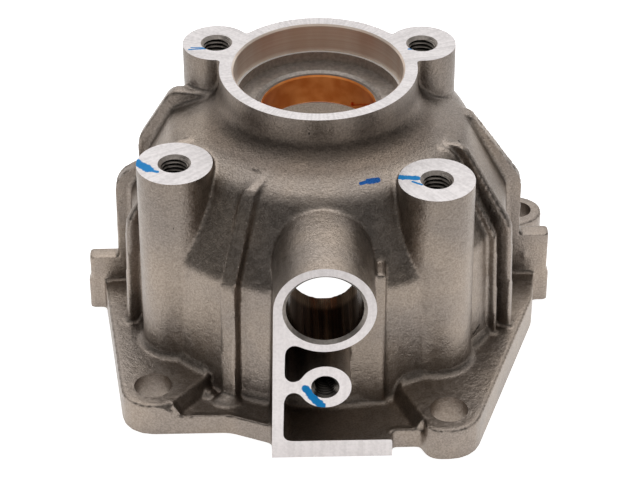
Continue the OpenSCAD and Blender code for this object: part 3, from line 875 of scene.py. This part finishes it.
# %% Sort the faces
FINISHES = [cast_skin, milled, bored, threads, port_skin, turned, ledge_highlight]
CAST, MILLED, BORED, THREAD, PORT, TURNED, LEDGE_HIGHLIGHT = range(len(FINISHES))
HOLES = [(x, y, TOP_Z) for x, y in REAR_POSTS] + [(x, y, POST_Z) for x, y in FRONT_POSTS]
HOLE_R, HOLE_DEPTH, MOUTH_DEPTH = 5.6, 18, 0.9
PAD_HOLE_R, PAD_HOLE_DEPTH = 4.7, 17
PORT_END_Y = -40
NEAR = 0.03


def sort_face(centre, normal):
    """Give the finish of a face from its centre and normal, in millimetres."""
    px, py, pz = centre
    r = math.hypot(px, py)
    from_port = math.hypot(px, pz - PORT_Z)
    if abs(pz - TOP_Z) < NEAR and normal.z > 0.9 or abs(pz) < NEAR and normal.z < -0.9:
        return MILLED
    if abs(py - PAD_Y) < NEAR and normal.y < -0.9:
        return MILLED
    if REGISTER_R - 2 < r < REGISTER_R + 0.1 and pz < REGISTER_T + NEAR:
        return MILLED
    for cx, cy in FRONT_POSTS:
        if abs(pz - POST_Z) < NEAR and math.hypot(px - cx, py - cy) < FRONT_POST_R + 0.15:
            return MILLED
    for cx, cy, top in HOLES:
        if math.hypot(px - cx, py - cy) < HOLE_R and top - HOLE_DEPTH < pz < top:
            return THREAD if pz < top - MOUTH_DEPTH else TURNED
    if math.hypot(px, pz - BOSS_Z) < PAD_HOLE_R and PAD_Y < py < PAD_Y + PAD_HOLE_DEPTH:
        return THREAD
    if r < SEAL_R + 1.5 and SEAL_LOW - NEAR < pz < TOP_Z:
        return LEDGE_HIGHLIGHT if pz < SEAL_LOW + NEAR else BORED
    if r < SEAL_R and BUSH_TOP < pz < SEAL_LOW:
        return TURNED
    if from_port < PORT_R + 0.05 and PAD_Y + PORT_CHAMFER < py < PORT_END_Y:
        return PORT
    if from_port < PORT_R + PORT_CHAMFER + 0.1 and py <= PAD_Y + PORT_CHAMFER:
        return TURNED
    return CAST


rough.data.materials.clear()
for finish in FINISHES:
    rough.data.materials.append(finish.material)
for poly in rough.data.polygons:
    poly.material_index = sort_face(poly.center / MM, poly.normal)
counts = [sum(p.material_index == k for p in rough.data.polygons) for k in range(len(FINISHES))]
rough.data.shade_smooth()
rough.data.set_sharp_from_angle(angle=math.radians(32))
print("faces by finish", counts)

# %% [markdown]
# ## Painted shade in closed-in places
#
# Shade is painted in where little light reaches. How open each point is comes from short rays that
# are sent out over it, and it is kept as an attribute of the mesh, which the cast skin reads. A few
# rounds of averaging with the neighbours take away the rays' noise. The attribute is worked out here
# once, so it looks the same in any light.

# %% How open each point is
REACH = 28 * MM
RAYS = 20
START = 0.2 * MM


def spread(count):
    """Directions over a flat spot, close together near its normal."""
    rows = []
    for k in range(count):
        share = (k + 0.5) / count
        turn = k * math.pi * (3 - math.sqrt(5))
        r = math.sqrt(share)
        rows.append(Vector((r * math.cos(turn), r * math.sin(turn), math.sqrt(1 - share))))
    return rows


def openness(tree, point, normal, ways):
    """Share of the rays that go free, where a far hit counts for more than a near one."""
    turn = normal.to_track_quat("Z", "Y")
    start = point + normal * START
    free = 0
    for way in ways:
        hit = tree.ray_cast(start, turn @ way, REACH)[3]
        free += 1 if hit is None else hit / REACH
    return free / len(ways)


skin = bmesh.new()
skin.from_mesh(rough.data)
skin.normal_update()
skin_tree = BVHTree.FromBMesh(skin)
ways = spread(RAYS)
values = np.array([openness(skin_tree, v.co, v.normal, ways) for v in skin.verts])
pairs = np.array([[v.index for v in e.verts] for e in skin.edges])
skin.free()
for _ in range(4):
    total, count = values.copy(), np.ones(len(values))
    for a, b in ((0, 1), (1, 0)):
        np.add.at(total, pairs[:, a], values[pairs[:, b]])
        np.add.at(count, pairs[:, a], 1)
    values = total / count
print("openness from", round(values.min(), 2), "to", round(values.max(), 2))

# %% [markdown]
# In a tapped hole the same attribute means something else: how far a point stands on the crest of a
# turn, fading with depth, because little light gets down there. The distance from the hole's own
# axis tells it. The pad's smaller thread is scaled up first, so that one rule serves all the holes.

# %% How far a point of a thread stands on its crest
CREST_R, CREST_FADE, LIT_DEPTH = 4.75, 0.5, 8
for v in rough.data.vertices:
    px, py, pz = v.co / MM
    places = [(math.hypot(px - cx, py - cy), top - pz) for cx, cy, top in HOLES]
    places.append((math.hypot(px, pz - BOSS_Z) * TAP_R / PAD_TAP_R, py - PAD_Y))
    for r, depth in places:
        if r < HOLE_R and MOUTH_DEPTH < depth < HOLE_DEPTH:
            crest_share = min(1, max(0, (CREST_R - r) / CREST_FADE))
            values[v.index] = crest_share * max(0, 1 - depth / LIT_DEPTH)
rough.data.attributes.new("open", "FLOAT", "POINT").data.foreach_set("value", values.astype(np.float32))
print("attribute kept on", len(values), "points")

# %% The finished housing stands for its solid
rough.name = "housing_casting"
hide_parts("housing")
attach(rough, "root")
print("housing_casting stands for housing")

# %% [markdown]
# ## The bush
#
# The bush is a steel shell lined with bronze, with chamfered ends and a slanting oil groove in its
# bore. Its section is spun once round the axis. The groove is cut by a small square that is spun
# part of the way round while it climbs, which makes it slant.

# %% The bush
BORE_R = 19
CHAMFER = 0.5
LINING = 0.6
SHELL_R = BUSH_R - 0.02
lining = bmesh.new()
round_ring(lining, 0, 0, [
    (BORE_R + CHAMFER, BUSH_LOW), (BORE_R + LINING, BUSH_LOW), (SHELL_R, BUSH_LOW),
    (SHELL_R, BUSH_TOP), (BORE_R + LINING, BUSH_TOP), (BORE_R + CHAMFER, BUSH_TOP),
    (BORE_R, BUSH_TOP - CHAMFER), (BORE_R, BUSH_LOW + CHAMFER)], steps=160)
bmesh.ops.remove_doubles(lining, verts=lining.verts, dist=0.0005)
bmesh.ops.recalc_face_normals(lining, faces=lining.faces)
bush = make_object("bush_lining", lining)
print("bush", len(bush.data.polygons), "faces")

# %% Its oil groove
GROOVE_R, GROOVE_Z = (18.6, 19.7), (74.1, 75.7)
GROOVE_START, GROOVE_TURN, GROOVE_CLIMB, GROOVE_STEPS = 52, -32, 5.2, 16
groove = bmesh.new()
(near_r, far_r), (low_z, high_z) = GROOVE_R, GROOVE_Z
square = [groove.verts.new((r, 0, z)) for r, z in (
    (near_r, low_z), (far_r, low_z), (far_r, high_z), (near_r, high_z))]
groove.faces.new(square)
bmesh.ops.rotate(groove, verts=groove.verts, matrix=Matrix.Rotation(math.radians(GROOVE_START), 3, "Z"))
bmesh.ops.spin(
    groove, geom=groove.verts[:] + groove.edges[:] + groove.faces[:], cent=(0, 0, 0), axis=(0, 0, 1),
    dvec=(0, 0, GROOVE_CLIMB / GROOVE_STEPS), angle=math.radians(GROOVE_TURN), steps=GROOVE_STEPS)
bmesh.ops.recalc_face_normals(groove, faces=groove.faces)
open_edges = sum(not e.is_manifold for e in groove.edges)
cut(bush, make_object("groove", groove))
print("groove cut, open edges of its tool", open_edges, "faces", len(bush.data.polygons))

# %% [markdown]
# Bronze is a deep orange that varies with the oil on it, and the shell is dull grey steel. A face is
# steel where it lies outside the lining, on the shell's ends or round its outside.

# %% Bronze and steel
bronze = Finish("bush_bronze", Metallic=0.85)
smear = bronze.between(bronze.noise(160, 3), 0.3, 0.7)
bronze.feed("Base Color", bronze.mix(smear, (0.78, 0.22, 0.045), (0.95, 0.36, 0.1)))
bronze.feed("Roughness", 0.28 + smear * 0.12)
steel = Finish("bush_shell_steel", Metallic=0.9, Roughness=0.4)
steel.feed("Base Color", steel.mix(steel.noise(500, 2), (0.2, 0.165, 0.14), (0.32, 0.28, 0.24)))
bush.data.materials.clear()
for finish in (bronze, steel):
    bush.data.materials.append(finish.material)
for poly in bush.data.polygons:
    px, py, pz = poly.center / MM
    at_end = min(abs(pz - BUSH_LOW), abs(pz - BUSH_TOP)) < 0.1
    poly.material_index = math.hypot(px, py) > (BORE_R + LINING if at_end else BUSH_R - 0.1)
bush.data.shade_smooth()
bush.data.set_sharp_from_angle(angle=math.radians(25))
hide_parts("output_bush")
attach(bush, "root")
print("bush_lining stands for output_bush")

# %% [markdown]
# ## The table
#
# The photograph was taken on a white table in a darker room. The table is a real floor, so the
# shadow stays, and it adds a glow of its own for two kinds of ray. The camera sees it white, and
# whitest through the open bell, where the glow is painted light over the bell's shade. The metal
# mirrors the glow bright near the part and behind it, and dark far in front, where the glow is
# turned down: that dark edge is what gives the casting its contrast.

# %% Floor
FLOOR_SIZE = 6000
FLOOR_GLOW, FAR_GLOW = 0.85, 0.1
ground = bmesh.new()
bmesh.ops.create_grid(ground, x_segments=1, y_segments=1, size=FLOOR_SIZE)
floor = make_object("floor", ground)
pale = Finish("floor_white", Base_Color=(0.85, 0.85, 0.85, 1), Roughness=0.9, Emission_Strength=1)
camera_ray = pale.add("ShaderNodeLightPath", {}, {}, out="Is Camera Ray")
glossy_ray = pale.add("ShaderNodeLightPath", {}, {}, out="Is Glossy Ray")
away = pale.distance()
# Painted light: the glow for camera rays is whitest under the bell, where its shade falls.
bell_light_pool = pale.between(away, 0.064, 0.056)
near_or_behind = pale.between(away, 0.26, 0.12).at_least(pale.between(pale.axis("Y"), 0.06, 0.3))
mirrored = glossy_ray * pale.between(near_or_behind, 0, 1, FAR_GLOW, FLOOR_GLOW)
seen = camera_ray * (FLOOR_GLOW + (1 - FLOOR_GLOW) * bell_light_pool)
pale.feed("Emission Color", pale.mix(seen.at_least(mirrored), (0, 0, 0), (1, 1, 1)))
floor.data.materials.append(pale.material)
print("floor laid")

# %% [markdown]
# ## The sky
#
# The camera sees the world white. To the metal and the lit surfaces it is a soft sky: dark round the
# horizon in front, brighter overhead and brightest behind, where the large lights stood. Two eased
# ramps over the direction make it, and the brighter one wins.

# %% World
SKY_DARK, SKY_ABOVE, SKY_BEHIND = 0.03, 0.55, 0.92
world = bpy.data.worlds.new("studio")
bpy.context.scene.world = world
world.use_nodes = True
sky = Nodes(world.node_tree)
backdrop = sky.tree.nodes["Background"]
backdrop.inputs["Color"].default_value = (1, 1, 1, 1)
way = sky.add("ShaderNodeTexCoord", {}, {}, out="Generated")
upward = sky.vector("DOT_PRODUCT", way, (0, 0, 1), out="Value")
backward = sky.vector("DOT_PRODUCT", way, (0, 1, 0), out="Value")
above = sky.between(upward, 0.25, 0.95, SKY_DARK, SKY_ABOVE)
behind = sky.between(backward, 0.2, 0.72, SKY_DARK, SKY_BEHIND)
level = above.at_least(behind).at_least(sky.add("ShaderNodeLightPath", {}, {}, out="Is Camera Ray"))
sky.tree.links.new(level.socket, backdrop.inputs["Strength"])
print("world set")

# %% [markdown]
# ## The lamp
#
# One large square lamp hangs over the part and a little behind it. It gives the soft shadow in
# front and lifts the level faces, and it is weak enough that a colour renders about as written.

# %% Lamp
LAMP_PLACE, LAMP_SIZE, LAMP_POWER = Vector((0.0, 0.35, 0.85)), 0.9, 3.4
LAMP_AIM = Vector((0, 0, 0.05))
lamp = bpy.data.lights.new("top_lamp", "AREA")
lamp.shape = "SQUARE"
lamp.size = LAMP_SIZE
lamp.energy = LAMP_POWER
lamp_object = bpy.data.objects.new("top_lamp", lamp)
bpy.context.scene.collection.objects.link(lamp_object)
lamp_turn = (LAMP_AIM - LAMP_PLACE).to_track_quat("-Z", "Y").to_matrix().to_4x4()
lamp_object.matrix_world = Matrix.Translation(LAMP_PLACE) @ lamp_turn

# %% [markdown]
# ## The camera
#
# The camera was fitted to the machined circles in the photograph, whose true sizes are known. It is
# given as its place, its turn round the part, its height angle and a slight roll.

# %% Camera
CAMERA_PLACE = (-0.013893, -0.646670, 0.486417)
AZ, EL, ROLL = (math.radians(v) for v in (-1.25973, 35.33083, -0.23372))
SENSOR_MM, LENS_MM = 36, 126.0
back = Vector((math.sin(AZ) * math.cos(EL), -math.cos(AZ) * math.cos(EL), math.sin(EL)))
right = Vector((math.cos(AZ), math.sin(AZ), 0))
up = back.cross(right)
rolled_right = math.cos(ROLL) * right + math.sin(ROLL) * up
rolled_up = math.cos(ROLL) * up - math.sin(ROLL) * right
camera_data = bpy.data.cameras.new("camera")
camera_data.sensor_width = SENSOR_MM
camera_data.lens = LENS_MM
camera = bpy.data.objects.new("camera", camera_data)
bpy.context.scene.collection.objects.link(camera)
turn = Matrix((rolled_right, rolled_up, back)).transposed().to_4x4()
camera.matrix_world = Matrix.Translation(CAMERA_PLACE) @ turn
bpy.context.scene.camera = camera
bpy.context.scene.view_settings.view_transform = "Standard"
print("camera at", [round(v, 3) for v in camera.matrix_world.translation])

# %% [markdown]
# ## The end
